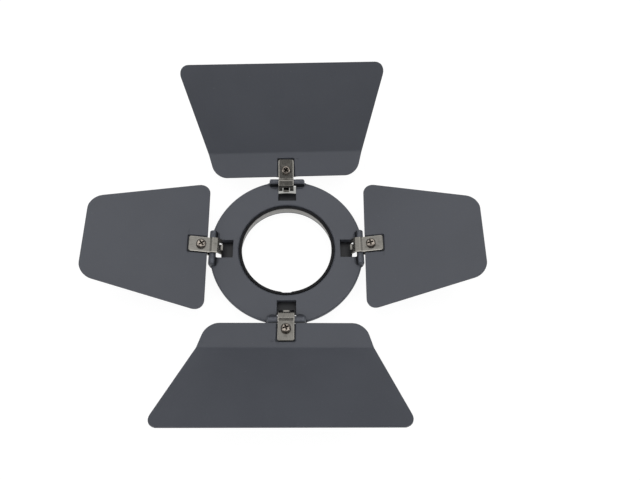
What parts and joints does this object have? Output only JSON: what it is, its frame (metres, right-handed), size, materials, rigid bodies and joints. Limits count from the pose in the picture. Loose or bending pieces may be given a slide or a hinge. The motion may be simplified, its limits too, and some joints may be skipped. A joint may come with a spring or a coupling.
{
  "type": "barn_door_attachment",
  "caption": "Barn door attachment for a small stage spotlight: a dark grey ring with a round opening and swinging sheet leaves clamped to hinge bars on its face",
  "frame": {"origin": "centre of the rear end face of the spigot, where the ring seats on the lamp", "axes": "+Z along the ring's axis, forwards with the beam; +Y towards the top leaf; +X towards the right leaf"},
  "size_m": [0.2048, 0.1857, 0.0518],
  "materials": {
    "grey_paint": "fine satin powder coat",
    "black_rubber": "matt",
    "nickel_plate": "satin nickel plate",
    "zinc_steel": "bright zinc plate"
  },
  "bodies": {
    "ring": {"front_ring": "grey_paint", "aperture_seal": "black_rubber"},
    "right_leaf_assembly": {"right_leaf": "grey_paint", "right_front_clip": "nickel_plate", "right_rear_clip": "nickel_plate", "right_clamp_screw": "zinc_steel", "right_clamp_nut": "zinc_steel"},
    "top_leaf_assembly": {"top_leaf": "grey_paint", "top_front_clip": "nickel_plate", "top_rear_clip": "nickel_plate", "top_clamp_screw": "zinc_steel", "top_clamp_nut": "zinc_steel"},
    "left_leaf_assembly": {"left_leaf": "grey_paint", "left_front_clip": "nickel_plate", "left_rear_clip": "nickel_plate", "left_clamp_screw": "zinc_steel", "left_clamp_nut": "zinc_steel"},
    "bottom_leaf_assembly": {"bottom_leaf": "grey_paint", "bottom_front_clip": "nickel_plate", "bottom_rear_clip": "nickel_plate", "bottom_clamp_screw": "zinc_steel", "bottom_clamp_nut": "zinc_steel"}
  },
  "joints": [
    {"name": "right_leaf_hinge", "type": "hinge", "parent": "ring", "child": "right_leaf_assembly", "pos_m": [0.0405, 0, 0.0106], "axis": [0, -1, 0], "range_deg": [-26, 104]},
    {"name": "top_leaf_hinge", "type": "hinge", "parent": "ring", "child": "top_leaf_assembly", "pos_m": [0, 0.0405, 0.0106], "axis": [1, 0, 0], "range_deg": [-29.5, 65.5]},
    {"name": "left_leaf_hinge", "type": "hinge", "parent": "ring", "child": "left_leaf_assembly", "pos_m": [-0.0405, 0, 0.0106], "axis": [0, 1, 0], "range_deg": [-26, 104]},
    {"name": "bottom_leaf_hinge", "type": "hinge", "parent": "ring", "child": "bottom_leaf_assembly", "pos_m": [0, -0.0405, 0.0106], "axis": [-1, 0, 0], "range_deg": [-25.6, 69.4]}
  ]
}
